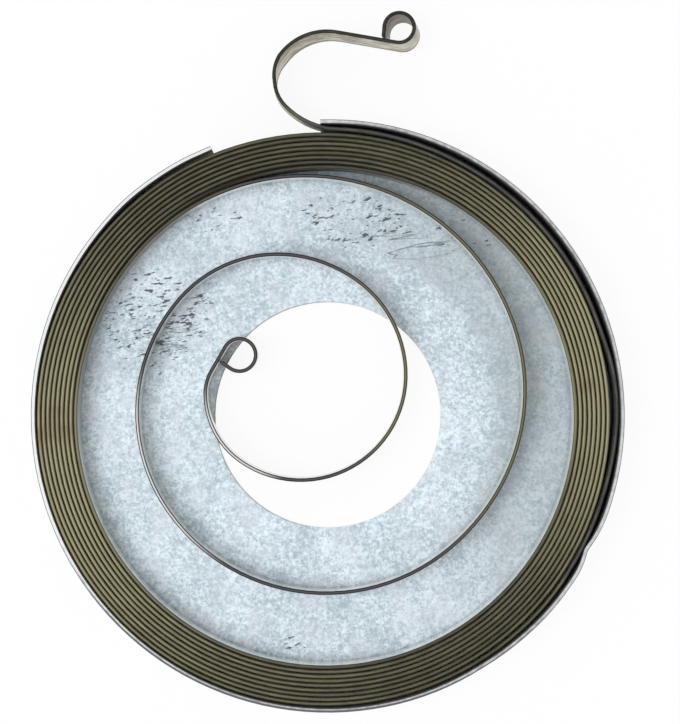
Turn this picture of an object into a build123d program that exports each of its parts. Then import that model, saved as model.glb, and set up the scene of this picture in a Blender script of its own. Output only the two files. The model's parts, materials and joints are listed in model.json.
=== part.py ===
from build123d import *
from math import atan2, cos, degrees, hypot, radians, sin
import os

# A recoil starter spring in its keeper. The keeper is a shallow drum pressed from thin galvanised
# steel: a flat ring with a big centre hole, and a rim with one gap for the spring's outer end.
# The spring is one long strip of spring steel, wound flat inside the rim, with an eye at each end.
# Z points up out of the drum's open side. The origin is on the drum's underside, on the axis of
# its hole. Sizes are in millimetres and degrees, and angles are counted from +X towards +Y.

# The drum: its sheet, its outside, the bend between ring and rim, and the hole in its ring. The
# cut edge along the top of the rim has its burr taken off.
sheet = 0.5
case_radius = 35.0
case_height = 7.5
corner_inside = 0.2
hole_radius = 13.5
edge_break = 0.08

# The gap in the rim starts just past the place where the strip leaves, and is cut in this far.
gap_lip = 0.45
gap_width = 13.5
gap_depth = 2.0

# The rim is knocked in at two places, as (angle, depth, run before it, run after it): a long shallow
# flat and a sharp dent. Both ends of the rim at the gap are bent in too, as (depth, run). All are
# deepest at the top edge and are gone at dent_floor. The shape of a dent is given as (part of its
# run, part of its depth), and an end takes half of it.
dents = [(-58.0, 0.1, 23.0, 23.0), (-27.5, 0.45, 6.5, 10.0)]
gap_first_end = (0.06, 30.0)
gap_last_end = (0.3, 28.0)
dent_floor = 1.6
dent_shape = [(-1, 0), (-0.5, 0.2), (-0.15, 0.75), (0, 1), (0.15, 0.75), (0.5, 0.2), (1, 0)]

# The strip. Its real edges are rolled round, and are left square here.
strip_thickness = 0.45
strip_width = 6.3

# Free space: between turns, between the rim and the outer turn at their nearest, between the strip
# and the bend below it, and between each eye's cut end and the strip beside it.
turn_gap = 0.0945
rim_gap = 0.08
floor_gap = 0.05
eye_gap = 0.1

# The wound turns lie round a centre a little off the drum's axis. Each crosses inwards to the
# next one as it passes the gap, in two equal bends, the first tighter and the second wider.
coil_x = -0.26
coil_y = -0.165
full_turns = 8
crossing_start = 150.0
crossing_turn = 37.5

# The outer turn's last stretch, from the bottom of the drum to the gap. Each bend is given as
# (how much wider than the outer turn, how far it turns); a bulge leans on the rim, and past it
# the strip runs straight for a little before it goes on.
rim_bends = [(0.6, 39), (-2.4, 19), (5.1, 26), (-9.9, 26)]
bulge_straight = 2.7
gap_bend = (0.6, 68)

# The goose neck outside the gap, as (radius, turn), then the hook's straight and the outer eye. In
# neck_twist the strip also twists, so that all of the hook past it leans out of level.
neck_bends = [(6.0, -10), (9.0, -34), (4.45, -40)]
neck_twist = (4.45, -40)
hook_lean = 7.0
neck_top = (6.85, -64.5)
hook_straight = 7.2
outer_eye_radius = 1.55
outer_eye_turn = 276

# The loose coil inside the wound turns, as (part of the last wound turn's radius, turn), then a
# straight and the inner eye, which hooks on the starter's pulley.
loose_bends = [(0.985, 17), (0.883, 117), (0.796, 44.5), (0.865, 21.5), (0.77, 94.5), (0.69, 76.5)]
hub_bends = [(0.52, 66), (0.57, 18), (0.47, 52), (0.42, 128), (0.33, 55), (0.18, 30)]
inner_straight = 3.3
inner_eye_radius = 1.7
inner_eye_turn = 276

# What follows from the sizes above.
rim_inside = case_radius - sheet
pitch = strip_thickness + turn_gap
outer_turn = rim_inside - rim_gap - strip_thickness / 2 - hypot(coil_x, coil_y)
last_turn = outer_turn - full_turns * pitch
crossing_change = pitch / (2 * (1 - cos(radians(crossing_turn))))
wound_turn = 360 - 2 * crossing_turn
strip_middle = sheet + corner_inside + floor_gap + strip_width / 2
eye_outer = outer_eye_radius + strip_thickness / 2
eye_inner = inner_eye_radius + strip_thickness / 2


def on_circle(radius, angle):
    """A point at this distance and angle from the drum's axis."""
    return Vector(radius * cos(radians(angle)), radius * sin(radians(angle)))


def bent_line(start, heading, moves):
    """Tangent arcs and straights from a start; each move is (radius, turn) or (length, 0)."""
    edges = []
    for size, turn in moves:
        if turn:
            edge = JernArc(start, heading, size, turn)
        else:
            edge = Line(start, start + heading * size)
        edges.append(edge)
        start = edge @ 1
        heading = (edge % 1).normalized()
    return edges, start, heading


def eye_end(radius, turn):
    """Length of the straight that closes an eye, up to eye_gap from the strip beside it."""
    rise = radius * (1 - cos(radians(turn)))
    half_strip = strip_thickness / 2
    end_corner = half_strip * abs(cos(radians(turn)))
    return (rise - half_strip - end_corner - eye_gap) / -sin(radians(turn))


def strip_section(point, heading, lean=0):
    """The plane of the strip's cross-section at a point of its line, leaning about the line."""
    across = Vector(0, 0, 1).cross(heading).rotate(Axis((0, 0, 0), heading), -lean)
    return Plane(origin=point, x_dir=across, z_dir=heading)


def wound_moves():
    """The wound turns, inwards and clockwise, from the bottom of the outer turn."""
    moves = [(outer_turn, -(270 - crossing_start))]
    for turn in range(full_turns):
        radius = outer_turn - turn * pitch
        inner = radius - pitch
        moves.append((radius - crossing_change, -crossing_turn))
        moves.append((inner + crossing_change, -crossing_turn))
        moves.append((inner, -wound_turn))
    return moves


def inner_moves():
    """The loose coil and the inner eye, clockwise from the end of the wound turns."""
    moves = [(part * last_turn, -turn) for part, turn in loose_bends + hub_bends]
    moves.append((inner_straight, 0))
    moves.append((eye_inner, -inner_eye_turn))
    moves.append((eye_end(eye_inner, inner_eye_turn), 0))
    return moves


def outer_moves():
    """The outer turn's last stretch, anticlockwise from its bottom to the gap."""
    moves = [(outer_turn + wider, turn) for wider, turn in rim_bends]
    moves.append((bulge_straight, 0))
    moves.append((outer_turn + gap_bend[0], gap_bend[1]))
    return moves


# The strip's line from the bottom of the outer turn out through the gap, at its middle height.
turn_bottom = Vector(coil_x, coil_y - outer_turn, strip_middle)
outward, gap_point, gap_heading = bent_line(turn_bottom, Vector(1, 0, 0), outer_moves())
neck, neck_point, neck_heading = bent_line(gap_point, gap_heading, neck_bends)

# The gap in the rim, measured from the place where the strip turns out through it.
turning_out = neck[0] @ 1
gap_start = degrees(atan2(turning_out.Y, turning_out.X) + gap_lip / rim_inside)
gap_angle = degrees(gap_width / case_radius)


def strip_run(start, heading, moves):
    """A stretch of the strip without a twist, whose line starts at its middle height."""
    left = Vector(0, 0, 1).cross(heading)
    sides = []
    for shift in (strip_thickness / 2, -strip_thickness / 2):
        shifted = [(size - shift * ((turn > 0) - (turn < 0)), turn) for size, turn in moves]
        sides.append(bent_line(start + left * shift, heading, shifted)[0])
    outline = sides[0] + sides[1]
    outline.append(Line(sides[0][0] @ 0, sides[1][0] @ 0))
    outline.append(Line(sides[0][-1] @ 1, sides[1][-1] @ 1))
    return extrude(make_face(outline), strip_width / 2, both=True)


def make_strip():
    """The whole spring strip: wound turns, loose coil and inner eye, goose neck, outer hook."""
    strip = strip_run(turn_bottom, Vector(-1, 0, 0), wound_moves() + inner_moves())
    strip += strip_run(turn_bottom, Vector(1, 0, 0), outer_moves() + neck_bends)

    # The strip twists by hook_lean as it goes round this bend.
    outline = Rectangle(strip_thickness, strip_width)
    twist, hook_point, hook_heading = bent_line(neck_point, neck_heading, [neck_twist])
    upright = strip_section(neck_point, neck_heading)
    leaning = strip_section(hook_point, hook_heading, hook_lean)
    strip += sweep([upright * outline, leaning * outline], path=twist[0], multisection=True)

    # The hook lies in a plane that leans with the strip, and is drawn there from its start along x.
    moves = [neck_top, (hook_straight, 0), (eye_outer, outer_eye_turn)]
    moves.append((eye_end(eye_outer, outer_eye_turn), 0))
    hook_plane = Plane(origin=hook_point, x_dir=hook_heading, z_dir=leaning.y_dir)
    return strip + hook_plane.location * strip_run(Vector(0, 0, 0), Vector(1, 0, 0), moves)


def drum_profile():
    """Half of the drum's cross-section, as distance from the axis and height."""
    corners = [
        (hole_radius, 0),
        (case_radius, 0),
        (case_radius, case_height),
        (rim_inside, case_height),
        (rim_inside, sheet),
        (hole_radius, sheet),
    ]
    profile = make_face(Polyline(*corners, close=True))
    for corner, radius in ((1, corner_inside + sheet), (4, corner_inside)):
        nearest = profile.vertices().sort_by_distance(corners[corner])[0]
        profile = fillet(nearest, radius)
    for corner in (2, 3):
        nearest = profile.vertices().sort_by_distance(corners[corner])[0]
        profile = chamfer(nearest, edge_break)
    return profile


def rim_sector(start, angle, inside, outside, bottom, top):
    """A stretch of ring between two radii and two heights."""
    block = Pos((inside + outside) / 2, (bottom + top) / 2) * Rectangle(outside - inside, top - bottom)
    return Rot(0, 0, start) * revolve(Plane.XZ * block, axis=Axis.Z, revolution_arc=angle)


def dent_face(dent, height, inside, outside):
    """The dented stretch of the rim, cut level at a height."""
    angle, depth, run_before, run_after = dent
    depth_here = depth * (height - dent_floor) / (case_height - dent_floor)
    lines = []
    for radius in (inside, outside):
        points = []
        for run, part in dent_shape:
            reach = run_before if run < 0 else run_after
            points.append(on_circle(radius - part * depth_here, angle + run * reach))
        ends = (angle - run_before, angle + run_after)
        tangents = [on_circle(1, end + 90) for end in ends]
        if depth_here > 0:
            lines.append(Spline(*points, tangents=tangents))
        else:
            lines.append(CenterArc((0, 0, 0), radius, ends[0], ends[1] - ends[0]))
    inner, outer = lines
    outline = [inner, Line(inner @ 1, outer @ 1), outer, Line(outer @ 0, inner @ 0)]
    return Pos(0, 0, height) * make_face(outline)


def make_case():
    """The pressed drum with its hole, the dents and the gap in its rim."""
    case = revolve(Plane.XZ * drum_profile(), axis=Axis.Z)
    below = -case_height
    above = 2 * case_height
    beyond = case_radius + case_height
    half_gap = gap_angle / 2
    first_end = (gap_start, gap_first_end[0], gap_first_end[1], half_gap)
    last_end = (gap_start + gap_angle, gap_last_end[0], half_gap, gap_last_end[1])
    for dent in dents + [first_end, last_end]:
        start = dent[0] - dent[2]
        angle = dent[2] + dent[3]
        case -= rim_sector(start, angle, rim_inside - sheet, beyond, dent_floor, above)
        levels = [
            dent_face(dent, dent_floor, rim_inside, case_radius),
            dent_face(dent, case_height - edge_break, rim_inside, case_radius),
            dent_face(dent, case_height, rim_inside + edge_break, case_radius - edge_break),
        ]
        case += loft(levels, ruled=True)
    return case - rim_sector(gap_start, gap_angle, case_radius - gap_depth, beyond, below, above)


os.makedirs("parts", exist_ok=True)
export_step(make_case(), "parts/spring_case.step")
export_step(make_strip(), "parts/spring_strip.step")
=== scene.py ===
import bpy
import json
import math
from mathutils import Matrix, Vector

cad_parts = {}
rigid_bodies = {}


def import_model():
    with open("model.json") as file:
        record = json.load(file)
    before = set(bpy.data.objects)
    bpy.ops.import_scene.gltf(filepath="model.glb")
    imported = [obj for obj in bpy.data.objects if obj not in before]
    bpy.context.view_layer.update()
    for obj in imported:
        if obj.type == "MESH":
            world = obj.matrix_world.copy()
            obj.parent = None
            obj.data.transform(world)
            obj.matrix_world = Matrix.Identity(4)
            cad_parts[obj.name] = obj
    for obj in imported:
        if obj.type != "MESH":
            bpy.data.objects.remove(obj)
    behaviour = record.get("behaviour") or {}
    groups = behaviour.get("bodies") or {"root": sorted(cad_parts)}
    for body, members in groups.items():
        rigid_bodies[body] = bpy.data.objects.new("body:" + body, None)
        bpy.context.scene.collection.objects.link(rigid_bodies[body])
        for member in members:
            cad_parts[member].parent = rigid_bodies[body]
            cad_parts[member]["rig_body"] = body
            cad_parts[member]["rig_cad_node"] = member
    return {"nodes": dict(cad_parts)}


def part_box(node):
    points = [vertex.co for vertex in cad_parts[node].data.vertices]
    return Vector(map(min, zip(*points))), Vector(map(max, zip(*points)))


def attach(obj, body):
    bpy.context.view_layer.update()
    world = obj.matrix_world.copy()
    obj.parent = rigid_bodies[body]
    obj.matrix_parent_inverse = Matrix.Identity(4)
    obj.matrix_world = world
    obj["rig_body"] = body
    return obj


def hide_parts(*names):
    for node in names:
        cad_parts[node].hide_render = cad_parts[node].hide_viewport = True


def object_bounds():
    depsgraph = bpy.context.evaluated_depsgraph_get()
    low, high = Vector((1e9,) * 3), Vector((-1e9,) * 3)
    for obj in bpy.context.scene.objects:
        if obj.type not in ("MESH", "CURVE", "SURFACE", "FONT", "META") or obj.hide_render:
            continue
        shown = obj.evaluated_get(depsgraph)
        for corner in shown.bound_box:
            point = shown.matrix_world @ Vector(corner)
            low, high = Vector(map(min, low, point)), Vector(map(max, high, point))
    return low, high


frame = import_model()
cad_low, cad_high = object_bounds()

# The keeper: a shallow drum pressed from thin galvanised sheet, with a gap in its rim for the spring's
# outer end. It is the imported solid as it is, with a zinc finish: a fine pale mottle, flecks where the
# coat was rubbed, dull sheared edges and an oily olive wall inside. Painted shade blacks out the top of
# that wall and darkens the rim's bottom, the hole's edge and the floor's right side.
MM = 0.001
RIM_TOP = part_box("spring_case")[1].z
RIM_OUTSIDE = 35.0 * MM
WALL_INSIDE = 34.5 * MM
HOLE_EDGE = 13.5 * MM

# The zinc's noises: their lumps in a metre, and for two of them how they tilt and are drawn out.
GRAIN_LUMPS = 2900.0
MOTTLE_LUMPS = 1300.0
CLOUD_LUMPS = 110.0
TINT_LUMPS = 260.0
FLECK_LUMPS = 2700.0
FLECK_TILT = math.radians(13)
FLECK_STRETCH = 3.0
SCRATCH_LUMPS = 700.0
SCRATCH_TILT = math.radians(7)
SCRATCH_STRETCH = 8.0

# Angles that parts of the finish lie towards, in degrees from +X towards +Y.
SHADED_FLOOR_SIDE = 20
SHADED_WALL_SIDE = 35
RIM_SHADE_LINE_SIDE = 262
RIM_INNER_LINE_SIDE = 35
HOLE_SHADE_SIDE = 170

# Where the coat was rubbed and where it was scratched: strength, then the middle and the two radii of
# an ellipse on the drum's floor, in millimetres.
SCUFFED = (
    (1.0, -21, 11.5, 9, 9),
    (1.0, 3, 23.3, 10.5, 4.6),
    (0.9, -17.0, 12.5, 4.5, 7),
    (0.8, -15.5, 24, 8, 3),
    (0.7, 16, 21.5, 7, 5),
    (0.9, -4.5, -27.6, 3.5, 1.6),
)
SCRATCHED = ((1.0, 8, 20.3, 9, 2.2), (0.8, -19, 9.5, 7, 2.6))

# Where the rim's top is dull, and at the bottom darkened by painted shade: strength, the angle that it
# lies towards, and how nearly a place faces that angle where it starts and where it is full.
RIM_DULL_AND_SHADE = ((0.62, 265, 0.4, 1.0), (0.5, 50, 0.5, 0.9), (0.35, 335, 0.75, 1.0))

ZINC_SHADE = (0.38, 0.47, 0.52, 1)
ZINC_LIGHT = (0.83, 0.915, 0.99, 1)
ZINC_VIOLET = (0.64, 0.66, 0.73, 1)
ZINC_PAINTED_SHADE = (0.26, 0.31, 0.33, 1)
FLECK = (0.045, 0.053, 0.055, 1)
WALL_OILY = (0.50, 0.47, 0.34, 1)
WALL_SHADE = (0.20, 0.20, 0.20, 1)
SHEARED_BRIGHT = (0.68, 0.69, 0.69, 1)
SHEARED_DULL_AND_SHADE = (0.10, 0.105, 0.105, 1)
CORNER_DARK = (0.05, 0.05, 0.05, 1)
HOLE_SHADE = (0.16, 0.17, 0.16, 1)


class Socket:
    """A socket in a material's nodes. Arithmetic on it adds Math nodes beside it."""

    def __init__(self, tree, socket):
        self.tree = tree
        self.socket = socket

    def node(self, kind, settings, inputs, output=0):
        """Another node: its settings, then what goes into its inputs, which are named or numbered."""
        node = self.tree.nodes.new(kind)
        for name, value in settings.items():
            setattr(node, name, value)
        for name, value in inputs.items():
            if isinstance(value, Socket):
                self.tree.links.new(value.socket, node.inputs[name])
            else:
                node.inputs[name].default_value = value
        return Socket(self.tree, node.outputs[output])

    def math(self, operation, first, second=0.0):
        return self.node("ShaderNodeMath", {"operation": operation}, {0: first, 1: second})

    def __add__(self, other):
        return self.math("ADD", self, other)

    def __radd__(self, other):
        return self.math("ADD", other, self)

    def __sub__(self, other):
        return self.math("SUBTRACT", self, other)

    def __rsub__(self, other):
        return self.math("SUBTRACT", other, self)

    def __mul__(self, other):
        return self.math("MULTIPLY", self, other)

    def __rmul__(self, other):
        return self.math("MULTIPLY", other, self)

    def __truediv__(self, other):
        return self.math("DIVIDE", self, other)

    def __rtruediv__(self, other):
        return self.math("DIVIDE", other, self)

    def size(self):
        """This value without its sign."""
        return self.math("ABSOLUTE", self)

    def over(self, other):
        """The larger of this and another value."""
        return self.math("MAXIMUM", self, other)

    def step(self, low, high):
        """0 at low and 1 at high, with a soft ramp between them; low may be the larger."""
        settings = {"interpolation_type": "SMOOTHSTEP"}
        inputs = {"Value": self, "From Min": low, "From Max": high}
        return self.node("ShaderNodeMapRange", settings, inputs)

    def noise(self, scale, detail=2.0, roughness=0.5):
        """Cloudy noise from 0 to 1 over this vector; scale counts its lumps in one unit of length."""
        inputs = {"Vector": self, "Scale": scale, "Detail": detail, "Roughness": roughness}
        return self.node("ShaderNodeTexNoise", {"normalize": True}, inputs)

    def vector(self, operation, second, output=0):
        """Vector maths on this vector with a second one."""
        return self.node("ShaderNodeVectorMath", {"operation": operation}, {0: self, 1: second}, output)

    def length(self):
        return self.vector("LENGTH", (0, 0, 0), "Value")

    def parts(self):
        """This vector's x, y and z."""
        return [self.node("ShaderNodeSeparateXYZ", {}, {0: self}, axis) for axis in range(3)]

    def mix(self, colour_a, colour_b):
        """A colour between two others, by this factor."""
        return self.node("ShaderNodeMix", {"data_type": "RGBA"}, {0: self, 6: colour_a, 7: colour_b}, 2)

    def bump(self, strength, depth):
        """A surface that this height makes uneven."""
        inputs = {"Strength": strength, "Distance": depth, "Height": self}
        return self.node("ShaderNodeBump", {}, inputs)


def new_material(name):
    """A material with its surface shader, and the object's own coordinates in it."""
    material = bpy.data.materials.new(name)
    material.use_nodes = True
    tree = material.node_tree
    surface = tree.nodes["Principled BSDF"]
    place = Socket(tree, surface.inputs["Normal"]).node("ShaderNodeTexCoord", {}, {}, "Object")
    return material, surface, place


def wire(surface, inputs):
    """Links and values for a surface shader's inputs."""
    for name, value in inputs.items():
        if isinstance(value, Socket):
            value.tree.links.new(value.socket, surface.inputs[name])
        else:
            surface.inputs[name].default_value = value


def upwards(place):
    """How far the surface faces upwards: 1 on a level top, 0 on a wall."""
    return place.node("ShaderNodeNewGeometry", {}, {}, "Normal").parts()[2]


def facing(x, y, reach, angle):
    """How far a place lies towards an angle seen from the middle: 1 towards it, -1 away from it."""
    turn = math.radians(angle)
    return (x * math.cos(turn) + y * math.sin(turn)) / reach


def drawn_out(place, tilt, stretch):
    """Coordinates for a noise whose lumps are drawn out along a line at this tilt to the x axis."""
    inputs = {"Vector": place, "Rotation": (0, 0, tilt), "Scale": (stretch, 1.0, 1.0)}
    return place.node("ShaderNodeMapping", {"vector_type": "TEXTURE"}, inputs)


def patch(place, strength, x, y, radius_x, radius_y):
    """This strength inside an ellipse on the drum's floor, fading to 0 at its edge."""
    moved = place.vector("SUBTRACT", (x * MM, y * MM, 0))
    scaled = moved.vector("MULTIPLY", (1 / (radius_x * MM), 1 / (radius_y * MM), 0))
    return strength * scaled.length().step(1.0, 0.45)


def patches(place, ellipses):
    """The strongest of several patches at each place."""
    strongest = patch(place, *ellipses[0])
    for ellipse in ellipses[1:]:
        strongest = strongest.over(patch(place, *ellipse))
    return strongest


case = frame["nodes"]["spring_case"]
zinc, zinc_surface, place = new_material("galvanised_sheet")
x, y, z = place.parts()
reach = place.vector("MULTIPLY", (1, 1, 0)).length()
up = upwards(place)

grains = place.noise(GRAIN_LUMPS, 3.0, 0.7)
mottle = place.noise(MOTTLE_LUMPS, 2.0, 0.6)
clouds = place.noise(CLOUD_LUMPS, 3.0, 0.55)
tone = 0.75 * grains + 0.32 * mottle + 0.25 * (clouds - 0.5)
zinc_colour = tone.step(0.36, 0.71).mix(ZINC_SHADE, ZINC_LIGHT)
tint = place.noise(TINT_LUMPS, 2.0, 0.5).step(0.45, 0.65)
zinc_colour = (0.35 * tint).mix(zinc_colour, ZINC_VIOLET)

# The flecks are short dashes that rise a little to the right, and lie thick where the coat was rubbed.
# A few fine scratches are the level lines of a stretched noise. Painted shade darkens the floor's outer
# part at the right side.
fleck_noise = drawn_out(place, FLECK_TILT, FLECK_STRETCH).noise(FLECK_LUMPS, 2.0, 0.6)
dense = (fleck_noise + 0.185 * patches(place, SCUFFED)).step(0.755, 0.82)
rare = fleck_noise.step(0.735, 0.79)
scratch_noise = drawn_out(place, SCRATCH_TILT, SCRATCH_STRETCH).noise(SCRATCH_LUMPS, 2.0, 0.6)
scratches = (scratch_noise - 0.5).size().step(0.022, 0.006) * patches(place, SCRATCHED)
flecks = dense.over(0.75 * rare).over(0.7 * scratches)
right_floor_shade = facing(x, y, reach, SHADED_FLOOR_SIDE).step(0.1, 0.95) * reach.step(18.5 * MM, 21.5 * MM)
zinc_colour = (0.42 * right_floor_shade).mix(zinc_colour, ZINC_PAINTED_SHADE)
zinc_colour = (0.9 * flecks).mix(zinc_colour, FLECK)

# Oil makes the drum olive inside its wall, and painted shade makes the wall black: all of it on the
# right side, and the top of the wall elsewhere.
wall_oil_and_shade = z.step(0.3 * MM, 0.5 * MM) * reach.step(WALL_INSIDE - 0.9 * MM, WALL_INSIDE - 0.5 * MM)
wall_oil_and_shade = wall_oil_and_shade * reach.step(WALL_INSIDE + 0.12 * MM, WALL_INSIDE + 0.04 * MM)
wall_shade = z.step(RIM_TOP - 2.2 * MM, RIM_TOP - 1.2 * MM)
wall_shade = wall_shade.over(facing(x, y, reach, SHADED_WALL_SIDE).step(-0.1, 0.5))
zinc_colour = (0.9 * wall_oil_and_shade).mix(zinc_colour, wall_shade.mix(WALL_OILY, WALL_SHADE))

# The rim's top is a sheared edge: bright, with dull stretches, painted shade on its bottom stretch and
# along its outside there, a dark line along its inside on the right, and dark corners. Painted shade
# darkens the hole's edge, most on the left.
rim_top = z.step(RIM_TOP - 0.1 * MM, RIM_TOP - 0.05 * MM) * up.step(0.8, 0.97)
rim_dull_and_shade = 0.9 * (mottle - 0.5)
for strength, angle, start, full in RIM_DULL_AND_SHADE:
    rim_dull_and_shade = rim_dull_and_shade + strength * facing(x, y, reach, angle).step(start, full)
outer_shade_line = reach.step(RIM_OUTSIDE - 0.30 * MM, RIM_OUTSIDE - 0.18 * MM)
rim_dull_and_shade = rim_dull_and_shade + 0.9 * outer_shade_line * facing(x, y, reach, RIM_SHADE_LINE_SIDE).step(0.45, 0.9)
inner_line = reach.step(RIM_OUTSIDE - 0.30 * MM, RIM_OUTSIDE - 0.38 * MM)
rim_dull_and_shade = rim_dull_and_shade + 0.3 * inner_line * facing(x, y, reach, RIM_INNER_LINE_SIDE).step(0.3, 0.8)
rim_colour = rim_dull_and_shade.step(0, 1.2).mix(SHEARED_BRIGHT, SHEARED_DULL_AND_SHADE)
zinc_colour = rim_top.mix(zinc_colour, rim_colour)
corner = up.step(0.97, 0.8) * z.step(RIM_TOP - 0.3 * MM, RIM_TOP - 0.1 * MM)
zinc_colour = (0.85 * corner).mix(zinc_colour, CORNER_DARK)
hole_shade_line = reach.step(HOLE_EDGE + 0.16 * MM, HOLE_EDGE + 0.06 * MM)
hole_shade_line = hole_shade_line * facing(x, y, reach, HOLE_SHADE_SIDE).step(-0.2, 0.4)
zinc_colour = (0.6 * hole_shade_line).mix(zinc_colour, HOLE_SHADE)

wire(zinc_surface, {
    "Base Color": zinc_colour,
    "Metallic": 0.45,
    "Roughness": 0.42 + 0.2 * grains,
    "Normal": grains.bump(0.25, 0.02 * MM),
})
case.data.materials.clear()
case.data.materials.append(zinc)

# The spring: one long strip of hardened spring steel, slit and rolled so that its edges are round, and
# wound flat into the drum. It is the imported solid with those edges rolled. Its flat sides are clean
# and its edges have an oiled bronze-grey skin. Painted shade darkens the sides of the edges between the
# turns and the first turn beside the rim, and a painted sheen and glint lighten parts of the edges.
EDGE_ROLL = 0.19 * MM
EDGE_ROLL_STEPS = 4
SHARP = math.radians(50)
FLAT = math.radians(12)
ANY_QUAD = math.radians(120)
MERGE = 0.0005 * MM
COIL_CENTRE = (-0.26 * MM, -0.165 * MM, 0)
WOUND_INSIDE = 29.25 * MM
FIRST_TURN_INSIDE = 33.62 * MM
HOOK_MIDDLE = (8.694 * MM, 45.492 * MM, 5.074 * MM)
HOOK_UP = (-0.0986, 0.0716, 0.9925)

# The steel's noises: their lumps in a metre, or round the drum and in a metre across the turns.
TURN_TONE_LUMPS = (1.2, 1900.0)
STREAK_LUMPS = (14.0, 2400.0)
SKIN_LUMPS = 2600.0
STAIN_LUMPS = 170.0
LINE_LUMPS = 3000.0
LINE_SQUEEZE = (0.06, 0.06, 1.0)
BLOTCH_LUMPS = 1300.0
BLOTCH_SQUEEZE = (0.4, 0.4, 1.0)

# Angles that parts of the finish lie towards, in degrees from +X towards +Y.
SHEEN_SIDE = 12
PALER_BOTTOM_SIDE = 252
LAST_GAP_SHADE_SIDE = 130
DARK_STRETCH_SIDE = 33
OLIVE_SIDE = 20
GLINT_SIDE = 200
SHADED_SIDE = 130

# Of each stretch, the crown is the part of its rolled edge that faces up, and the side is the rest. The
# side colours are painted shade, darker than the crowns as a rolled edge darkens away from its top.
WOUND_CROWN_DARK = (0.064, 0.060, 0.040, 1)
WOUND_CROWN_PALE = (0.30, 0.28, 0.165, 1)
WOUND_SIDE_BLACK = (0.013, 0.010, 0.004, 1)
WOUND_SIDE_BROWN = (0.078, 0.066, 0.022, 1)
LAST_TURN_CROWN = (0.060, 0.058, 0.046, 1)
LAST_GAP_SHADE = (0.010, 0.009, 0.004, 1)
RUST = (0.15, 0.10, 0.06, 1)
LOOSE_CROWN_GREY = (0.075, 0.072, 0.078, 1)
LOOSE_CROWN_OLIVE = (0.15, 0.135, 0.080, 1)
LOOSE_CROWN_GLINT = (0.55, 0.53, 0.52, 1)
LOOSE_SIDE_GREY = (0.012, 0.012, 0.013, 1)
LOOSE_SIDE_OLIVE = (0.035, 0.031, 0.016, 1)
FIRST_CROWN_DARK = (0.050, 0.049, 0.045, 1)
FIRST_CROWN_PALE = (0.095, 0.091, 0.083, 1)
FIRST_SIDE = (0.012, 0.012, 0.014, 1)
TAIL_CROWN_DARK = (0.024, 0.024, 0.019, 1)
TAIL_CROWN_PALE = (0.050, 0.047, 0.038, 1)
TAIL_SIDE = (0.020, 0.019, 0.016, 1)
NECK_CROWN = (0.11, 0.098, 0.062, 1)
FLAT_DARK = (0.74, 0.74, 0.69, 1)
FLAT_PALE = (0.90, 0.90, 0.84, 1)
FLAT_SHADED = (0.16, 0.16, 0.14, 1)
FIRST_FLAT_LOW = (0.02, 0.02, 0.02, 1)
FIRST_FLAT_HIGH = (0.24, 0.235, 0.225, 1)
HOOK_FLAT_BROWN = (0.30, 0.27, 0.20, 1)
HOOK_FLAT_PALE = (0.70, 0.66, 0.54, 1)
HOOK_FOOT = (0.08, 0.075, 0.055, 1)
EYE_RUSTY = (0.15, 0.11, 0.08, 1)

bpy.ops.object.select_all(action="DESELECT")
strip = frame["nodes"]["spring_strip"].copy()
strip.data = strip.data.copy()
strip.name = "rolled_strip"
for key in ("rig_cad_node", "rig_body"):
    del strip[key]
bpy.context.scene.collection.objects.link(strip)
strip.parent = None
strip.select_set(True)
bpy.context.view_layer.objects.active = strip
bpy.ops.object.mode_set(mode="EDIT")
bpy.ops.mesh.select_all(action="SELECT")
bpy.ops.mesh.remove_doubles(threshold=MERGE)
bpy.ops.mesh.tris_convert_to_quads(face_threshold=FLAT, shape_threshold=ANY_QUAD)
bpy.ops.object.mode_set(mode="OBJECT")
roll = strip.modifiers.new("roll", "BEVEL")
roll.width = EDGE_ROLL
roll.segments = EDGE_ROLL_STEPS
roll.limit_method = "ANGLE"
roll.angle_limit = SHARP
roll.use_clamp_overlap = False
bpy.ops.object.modifier_apply(modifier="roll")
bpy.ops.object.shade_smooth_by_angle(angle=SHARP)


def along_turns(direction, reach, round_drum, across_turn):
    """Coordinates for a noise that runs along the turns without a seam, by its lumps each way."""
    across = direction.node("ShaderNodeCombineXYZ", {}, {2: across_turn * reach})
    return direction.vector("MULTIPLY", (round_drum, round_drum, 0)).vector("ADD", across)


steel, steel_surface, place = new_material("oiled_spring_steel")
up = upwards(place)
height = place.parts()[2]
level = place.vector("SUBTRACT", COIL_CENTRE).vector("MULTIPLY", (1, 1, 0))
x, y = level.parts()[:2]
reach = level.length()
direction = level.vector("NORMALIZE", (0, 0, 0))

turn_tone = along_turns(direction, reach, *TURN_TONE_LUMPS).noise(1.0, 1.0, 0.5)
streak = along_turns(direction, reach, *STREAK_LUMPS).noise(1.0, 4.0, 0.65)
grain = place.noise(SKIN_LUMPS, 3.0, 0.6)
stain = place.noise(STAIN_LUMPS, 2.0, 0.5)

# Where a place is: in the wound turns, on the first turn's dark stretch, outside the drum on the tail,
# or on the tail's neck. What is in none of them is the loose coil.
wound = reach.step(WOUND_INSIDE - 0.1 * MM, WOUND_INSIDE)
first_turn = reach.step(FIRST_TURN_INSIDE, FIRST_TURN_INSIDE + 0.03 * MM)
dark_stretch = facing(x, y, reach, DARK_STRETCH_SIDE).step(0.36, 0.42) * first_turn
tail = reach.step(RIM_OUTSIDE - 0.4 * MM, RIM_OUTSIDE + 0.4 * MM)
neck = reach.step(38.5 * MM, 35.5 * MM)

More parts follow.
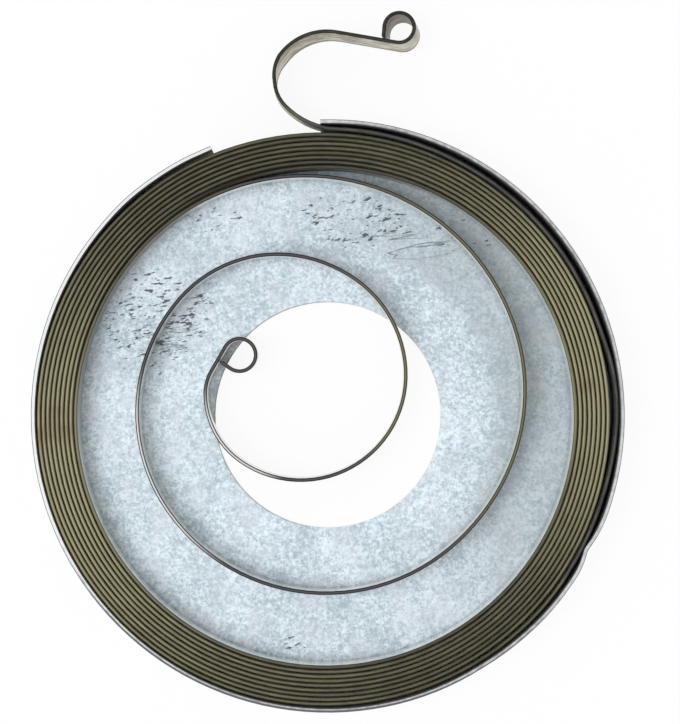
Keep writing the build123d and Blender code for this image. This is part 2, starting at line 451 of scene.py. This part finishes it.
# The wound turns are palest at two opposite sides and darkest between them: a painted sheen, the
# highlight that their round edges catch from the lamp. Their edges' sides are painted dark as the shade
# between the turns, browner where that sheen is. The last of them is duller, and on the upper left
# painted shade blackens the gap to the next, as though it stood off from it.
side = facing(x, y, reach, SHEEN_SIDE)
painted_sheen = side * side * side * side
tone = 0.60 * painted_sheen + 0.45 * streak + 0.30 * turn_tone + 0.20 * grain
tone = tone + 0.12 * facing(x, y, reach, PALER_BOTTOM_SIDE).step(0.75, 1.0)
wound_crown = tone.step(0.30, 1.15).mix(WOUND_CROWN_DARK, WOUND_CROWN_PALE)
last_turn = reach.step(WOUND_INSIDE + 0.62 * MM, WOUND_INSIDE + 0.52 * MM)
wound_crown = (0.45 * last_turn).mix(wound_crown, LAST_TURN_CROWN)
last_gap_shade = reach.step(WOUND_INSIDE + 0.36 * MM, WOUND_INSIDE + 0.44 * MM)
last_gap_shade = last_gap_shade * reach.step(WOUND_INSIDE + 0.76 * MM, WOUND_INSIDE + 0.68 * MM)
last_gap_shade = last_gap_shade * facing(x, y, reach, LAST_GAP_SHADE_SIDE).step(0.5, 0.9)
wound_crown = (0.85 * last_gap_shade).mix(wound_crown, LAST_GAP_SHADE)
rusty = stain.step(0.60, 0.72)
wound_crown = (0.35 * rusty).mix(wound_crown, RUST)
sheen_and_tone = (0.8 * painted_sheen + 1.2 * (turn_tone - 0.5)).step(0.0, 0.9)
wound_side = sheen_and_tone.mix(WOUND_SIDE_BLACK, WOUND_SIDE_BROWN)
uneven = 0.25 * (streak - 0.5) + 0.30 * (turn_tone - 0.5)
wound_edge = (up + uneven).step(0.45, 0.97).mix(wound_side, wound_crown)

# The loose coil is olive on the right and grey elsewhere, with a painted glint on the left.
olive = facing(x, y, reach, OLIVE_SIDE).step(0.2, 0.9)
glint = facing(x, y, reach, GLINT_SIDE).step(0.80, 0.97)
loose_crown = olive.mix(LOOSE_CROWN_GREY, LOOSE_CROWN_OLIVE)
loose_crown = glint.mix(loose_crown, LOOSE_CROWN_GLINT)
loose_side = olive.mix(LOOSE_SIDE_GREY, LOOSE_SIDE_OLIVE)
loose_edge = up.step(0.85, 0.99).mix(loose_side, loose_crown)

# The first turn's dark stretch is painted shade, the rim's shadow on it, and the tail has a darker
# skin; both have streaks along the strip.
streaky = streak.step(0.35, 0.65)
first_crown = streaky.mix(FIRST_CROWN_DARK, FIRST_CROWN_PALE)
first_edge = up.step(0.40, 0.75).mix(FIRST_SIDE, first_crown)
tail_crown = neck.mix(streaky.mix(TAIL_CROWN_DARK, TAIL_CROWN_PALE), NECK_CROWN)
tail_edge = up.step(0.60, 0.98).mix(TAIL_SIDE, tail_crown)
edge = wound.mix(loose_edge, wound_edge)
edge = dark_stretch.mix(edge, first_edge)
edge = tail.mix(edge, tail_edge)

# The flat sides are clean steel with fine lines along the strip. Those of the wound turns have painted
# shade on the upper left. On the dark stretch they are dull and dark, and painted shade blackens them
# at the foot.
lines = place.vector("MULTIPLY", LINE_SQUEEZE).noise(LINE_LUMPS, 3.0, 0.6)
flat = lines.step(0.3, 0.7).mix(FLAT_DARK, FLAT_PALE)
shaded = wound * facing(x, y, reach, SHADED_SIDE).step(0.3, 0.9)
flat = (0.8 * shaded).mix(flat, FLAT_SHADED)
first_flat = height.step(3.4 * MM, 4.6 * MM).mix(FIRST_FLAT_LOW, FIRST_FLAT_HIGH)
flat = dark_stretch.mix(flat, first_flat)

# The hook's flat sides are warmer and blotched, with a dark foot, and rusty inside the eye.
blotch = place.vector("MULTIPLY", BLOTCH_SQUEEZE).noise(BLOTCH_LUMPS, 3.0, 0.6)
blotch = 0.6 * blotch + 0.15 * grain + 0.25 * stain
hook_flat = blotch.step(0.43, 0.57).mix(HOOK_FLAT_BROWN, HOOK_FLAT_PALE)
from_eye = place.vector("SUBTRACT", HOOK_MIDDLE)
hook_foot = from_eye.vector("DOT_PRODUCT", HOOK_UP, "Value").step(-1.70 * MM, -2.50 * MM)
hook_flat = (0.70 * hook_foot).mix(hook_flat, HOOK_FOOT)
in_eye = from_eye.vector("CROSS_PRODUCT", HOOK_UP).length().step(1.68 * MM, 1.60 * MM)
hook_flat = (0.55 * in_eye).mix(hook_flat, EYE_RUSTY)
flat = tail.mix(flat, hook_flat)

rolled = up.size().step(0.10, 0.45)
mirror = (1 - rolled) * (1 - tail) * (1 - dark_stretch) * (1 - shaded)
wire(steel_surface, {
    "Base Color": rolled.mix(flat, edge),
    "Metallic": 0.45 + 0.5 * mirror,
    "Roughness": 0.36 + 0.2 * grain - 0.24 * mirror,
    "Specular IOR Level": 0.2,
    "Normal": streak.bump(0.15, 0.01 * MM),
})
strip.data.materials.clear()
strip.data.materials.append(steel)
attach(strip, "root")
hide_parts("spring_strip")

# The studio: a plain white table, a white room, a soft lamp high on the left, and a camera that looks
# straight down from as far as the photograph's perspective says. The table is seen white, and keeps
# the spring's shadow.
FLOOR_SIZE = 2.0
FLOOR_GAP = 0.02 * MM
FLOOR_GLOW = 0.9
FLOOR_WHITE = (0.97, 0.97, 0.97, 1)
WHITE = (1.0, 1.0, 1.0, 1.0)
ROOM_LIGHT = 0.76

bpy.ops.object.select_all(action="DESELECT")
bpy.ops.mesh.primitive_plane_add(size=FLOOR_SIZE, location=(0, 0, cad_low.z - FLOOR_GAP))
table = bpy.context.object
table.name = "table"
table_white, table_surface, place = new_material("table_white")
wire(table_surface, {"Base Color": FLOOR_WHITE, "Roughness": 0.9})
seen = place.node("ShaderNodeLightPath", {}, {}, "Is Camera Ray")
for ray in ("Is Glossy Ray", "Is Transmission Ray"):
    seen = seen.over(place.node("ShaderNodeLightPath", {}, {}, ray))
glow = place.node("ShaderNodeEmission", {}, {"Color": WHITE, "Strength": 1.0})
lit = Socket(place.tree, table_surface.outputs[0])
blend = place.node("ShaderNodeMixShader", {}, {0: FLOOR_GLOW * seen, 1: lit, 2: glow})
ending = table_white.node_tree.nodes["Material Output"]
table_white.node_tree.links.new(blend.socket, ending.inputs["Surface"])
table.data.materials.append(table_white)

world = bpy.data.worlds.new("studio")
bpy.context.scene.world = world
world.use_nodes = True
world.node_tree.nodes["Background"].inputs["Color"].default_value = WHITE
world.node_tree.nodes["Background"].inputs["Strength"].default_value = ROOM_LIGHT


def lamp(name, azimuth, elevation, distance, size, power):
    """A square soft lamp aimed at the part, azimuth counted from +X towards +Y."""
    light = bpy.data.lights.new(name, "AREA")
    light.size = size
    light.energy = power
    holder = bpy.data.objects.new(name, light)
    bpy.context.scene.collection.objects.link(holder)
    across = math.cos(math.radians(elevation))
    towards = Vector((
        math.cos(math.radians(azimuth)) * across,
        math.sin(math.radians(azimuth)) * across,
        math.sin(math.radians(elevation)),
    ))
    holder.location = towards * distance
    holder.rotation_euler = towards.to_track_quat("Z", "Y").to_euler()


lamp("key", azimuth=190, elevation=72, distance=0.7, size=0.25, power=1.4)

CAMERA_X = 1.44 * MM
CAMERA_Y = 6.34 * MM
CAMERA_ABOVE_RIM = 415 * MM
VIEW_HEIGHT = 85.32 * MM
NEAREST_SEEN = 10 * MM
SENSOR = 36.0
camera = bpy.data.cameras.new("camera")
camera.sensor_width = SENSOR
camera.lens = SENSOR * CAMERA_ABOVE_RIM / VIEW_HEIGHT
camera.clip_start = NEAREST_SEEN
holder = bpy.data.objects.new("camera", camera)
holder.location = (CAMERA_X, CAMERA_Y, RIM_TOP + CAMERA_ABOVE_RIM)
bpy.context.scene.collection.objects.link(holder)
bpy.context.scene.camera = holder
bpy.context.scene.view_settings.view_transform = "Standard"
